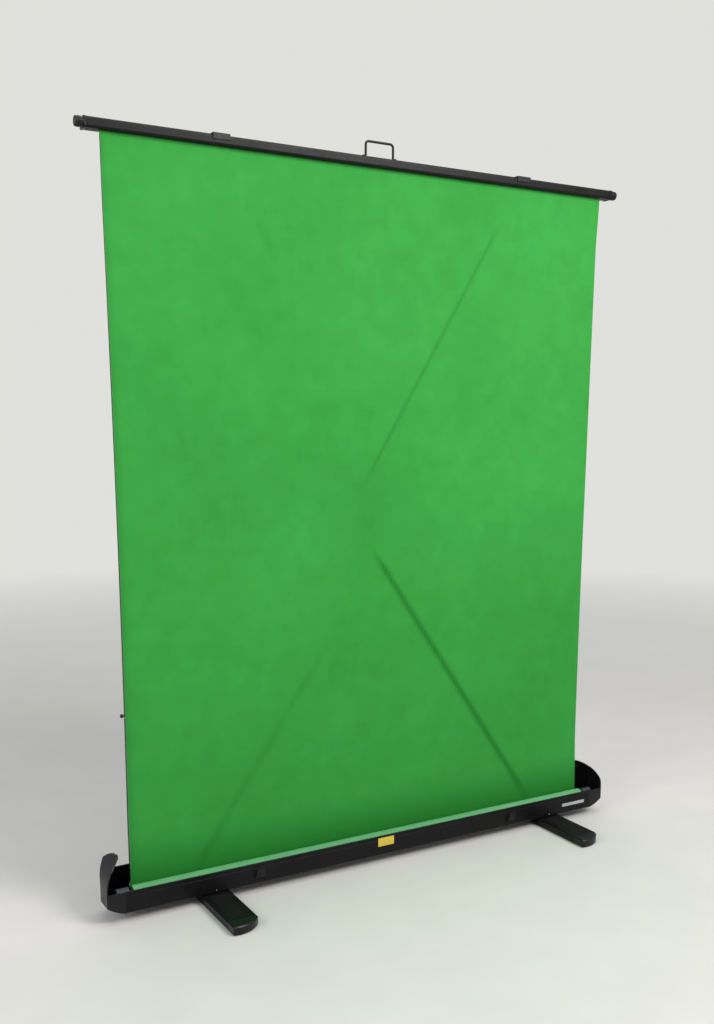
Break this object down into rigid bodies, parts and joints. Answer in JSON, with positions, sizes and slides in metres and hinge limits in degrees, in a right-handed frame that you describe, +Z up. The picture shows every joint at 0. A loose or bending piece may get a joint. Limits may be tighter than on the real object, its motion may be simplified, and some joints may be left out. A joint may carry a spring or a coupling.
{
  "type": "collapsible backdrop panel",
  "caption": "Pull-up backdrop screen: green cloth on a spring roller in a floor case, raised on a folding X frame under a top bar, on swivel feet.",
  "frame": {"origin": "middle of the footprint, on the floor", "axes": "+Z up, +X to the right of a person facing the cloth, -Y towards that person"},
  "size_m": [1.626, 0.4662, 1.9451],
  "materials": {
    "black_aluminium": "black anodised, satin",
    "black_plastic": "fine moulded grain",
    "grey_nylon": "natural moulded",
    "black_steel": "black powder coat",
    "bright_steel": "zinc plated",
    "green_cloth": "matt close-woven polyester",
    "black_rubber": "matt",
    "yellow_label": "plain printed film",
    "pale_badge": "plain printed strip"
  },
  "bodies": {
    "case": {"case_trough": "black_aluminium", "left_end_cap": "black_plastic", "right_end_cap": "black_plastic", "case_screws": "bright_steel", "axle_blocks": "grey_nylon", "left_base_bracket": "black_steel", "right_base_bracket": "black_steel", "base_pins": "bright_steel", "left_roller_axle": "bright_steel", "right_roller_axle": "bright_steel", "cap_bumpers": "black_rubber", "info_label": "yellow_label", "blank_badge": "pale_badge", "foot_pivots": "bright_steel", "foot_washers": "grey_nylon", "left_latch_base": "black_steel", "right_latch_base": "black_steel", "screen_cloth": "green_cloth"},
    "roller": {"roller_tube": "black_aluminium", "left_roller_plug": "black_plastic", "right_roller_plug": "black_plastic", "cloth_roll": "green_cloth", "roller_spring": "bright_steel"},
    "right_lower": {"right_lower_arm": "black_aluminium", "right_lower_knuckles": "black_plastic", "right_knee_pin": "bright_steel", "right_gas_cylinder": "black_steel", "right_gas_clamps": "black_steel", "right_knee_cable": "bright_steel"},
    "right_upper": {"right_upper_arm": "black_aluminium", "right_upper_knuckles": "black_plastic"},
    "right_rod": {"right_gas_rod": "bright_steel"},
    "left_lower": {"left_lower_arm": "black_aluminium", "left_lower_knuckles": "black_plastic", "left_knee_pin": "bright_steel", "left_gas_cylinder": "black_steel", "left_gas_clamps": "black_steel", "left_knee_cable": "bright_steel"},
    "left_upper": {"left_upper_arm": "black_aluminium", "left_upper_knuckles": "black_plastic"},
    "left_rod": {"left_gas_rod": "bright_steel"},
    "bar": {"top_bar": "black_aluminium", "cloth_spline": "black_plastic", "left_bar_end": "black_plastic", "right_bar_end": "black_plastic", "left_arm_bracket": "black_steel", "right_arm_bracket": "black_steel", "left_top_pin": "bright_steel", "right_top_pin": "bright_steel", "handle_clips": "black_steel"},
    "handle": {"carry_handle": "black_steel"},
    "left_foot_body": {"left_foot": "black_aluminium", "left_foot_tips": "black_plastic", "left_foot_pads": "black_rubber"},
    "right_foot_body": {"right_foot": "black_aluminium", "right_foot_tips": "black_plastic", "right_foot_pads": "black_rubber"},
    "left_latch": {"left_latch_lever": "black_steel"},
    "right_latch": {"right_latch_lever": "black_steel"}
  },
  "joints": [
    {"name": "fold", "type": "hinge", "parent": "case", "child": "right_lower", "pos_m": [0.566, 0.0325, 0.062], "axis": [0, -1, 0], "range_deg": [0, 52.4], "deforming": ["screen_cloth"]},
    {"name": "right_knee", "type": "hinge", "parent": "right_lower", "child": "right_upper", "pos_m": [-0.09, 0.044, 1.0008], "axis": [0, -1, 0], "range_deg": [-108.4, 0]},
    {"name": "bar_level", "type": "hinge", "parent": "right_upper", "child": "bar", "pos_m": [0.45, 0.044, 1.877], "axis": [0, -1, 0], "range_deg": [0, 56]},
    {"name": "left_fold", "type": "hinge", "parent": "case", "child": "left_lower", "pos_m": [-0.566, 0.067, 0.062], "axis": [0, -1, 0], "range_deg": [-52.7, 0]},
    {"name": "left_knee", "type": "hinge", "parent": "left_lower", "child": "left_upper", "pos_m": [0.09, 0.0555, 1.0008], "axis": [0, -1, 0], "range_deg": [0, 108.4]},
    {"name": "roller_spin", "type": "hinge", "parent": "case", "child": "roller", "pos_m": [0, -0.0053, 0.0655], "axis": [-1, 0, 0], "range_deg": [0, 4600]},
    {"name": "right_rod_slide", "type": "slide", "parent": "right_lower", "child": "right_rod", "axis": [-0.5728, 0, 0.8197], "range_m": [0, 0.04]},
    {"name": "left_rod_slide", "type": "slide", "parent": "left_lower", "child": "left_rod", "axis": [0.5728, 0, 0.8197], "range_m": [0, 0.04]},
    {"name": "handle_fold", "type": "hinge", "parent": "bar", "child": "handle", "pos_m": [0, 0.0285, 1.9041], "axis": [-1, 0, 0], "range_deg": [0, 88]},
    {"name": "left_foot_swivel", "type": "hinge", "parent": "case", "child": "left_foot_body", "pos_m": [-0.521, 0.0235, 0.0245], "axis": [0, 0, 1], "range_deg": [0, 90]},
    {"name": "right_foot_swivel", "type": "hinge", "parent": "case", "child": "right_foot_body", "pos_m": [0.6, 0.0235, 0.0245], "axis": [0, 0, 1], "range_deg": [-90, 0]},
    {"name": "left_latch_flip", "type": "hinge", "parent": "case", "child": "left_latch", "pos_m": [-0.396, -0.0352, 0.047], "axis": [1, 0, 0], "range_deg": [0, 100]},
    {"name": "right_latch_flip", "type": "hinge", "parent": "case", "child": "right_latch", "pos_m": [0.448, -0.0352, 0.047], "axis": [1, 0, 0], "range_deg": [0, 100]}
  ],
  "couplings": [
    {"joint": "right_knee", "follows": "fold", "ratio": -2.06},
    {"joint": "bar_level", "follows": "fold", "ratio": 1.06},
    {"joint": "left_fold", "follows": "fold", "ratio": -1},
    {"joint": "left_knee", "follows": "fold", "ratio": 2.06},
    {"joint": "roller_spin", "follows": "fold", "ratio": 86.6},
    {"joint": "right_rod_slide", "follows": "fold", "m_per_rad": 0.04326},
    {"joint": "left_rod_slide", "follows": "fold", "m_per_rad": 0.04326}
  ]
}
